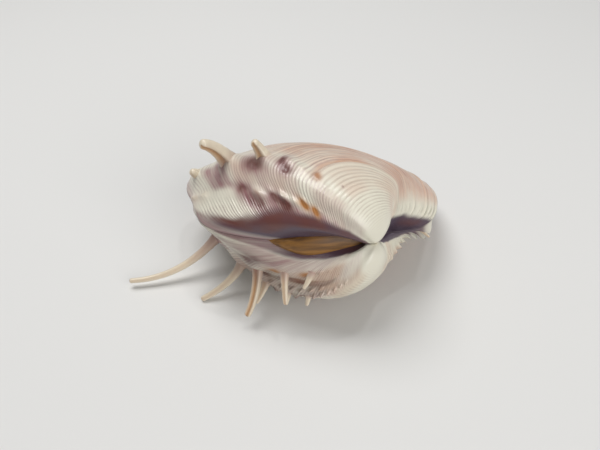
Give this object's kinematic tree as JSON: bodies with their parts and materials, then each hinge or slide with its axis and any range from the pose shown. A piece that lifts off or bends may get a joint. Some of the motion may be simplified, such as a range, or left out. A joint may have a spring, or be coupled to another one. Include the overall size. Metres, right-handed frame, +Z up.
{
  "type": "venus clam shell",
  "caption": "Closed spiny venus clam shell: a left and a right valve with broken spines along two ridges, joined by the ligament behind the beaks.",
  "frame": {"origin": "centre of the bounding box's footprint, at the height of the lowest point", "axes": "+Z up, as the shell rests on its right valve; +X to the anterior end's side, away from the long spine; +Y away from the hinge side"},
  "size_m": [0.0418, 0.0288, 0.0198],
  "materials": {
    "shell": "natural shell, porcelain sheen, pinkish cream with violet",
    "ligament": "dried horny ligament, satin brown"
  },
  "bodies": {
    "root": {"left_valve": "shell", "right_valve": "shell", "ligament": "ligament"}
  },
  "joints": []
}
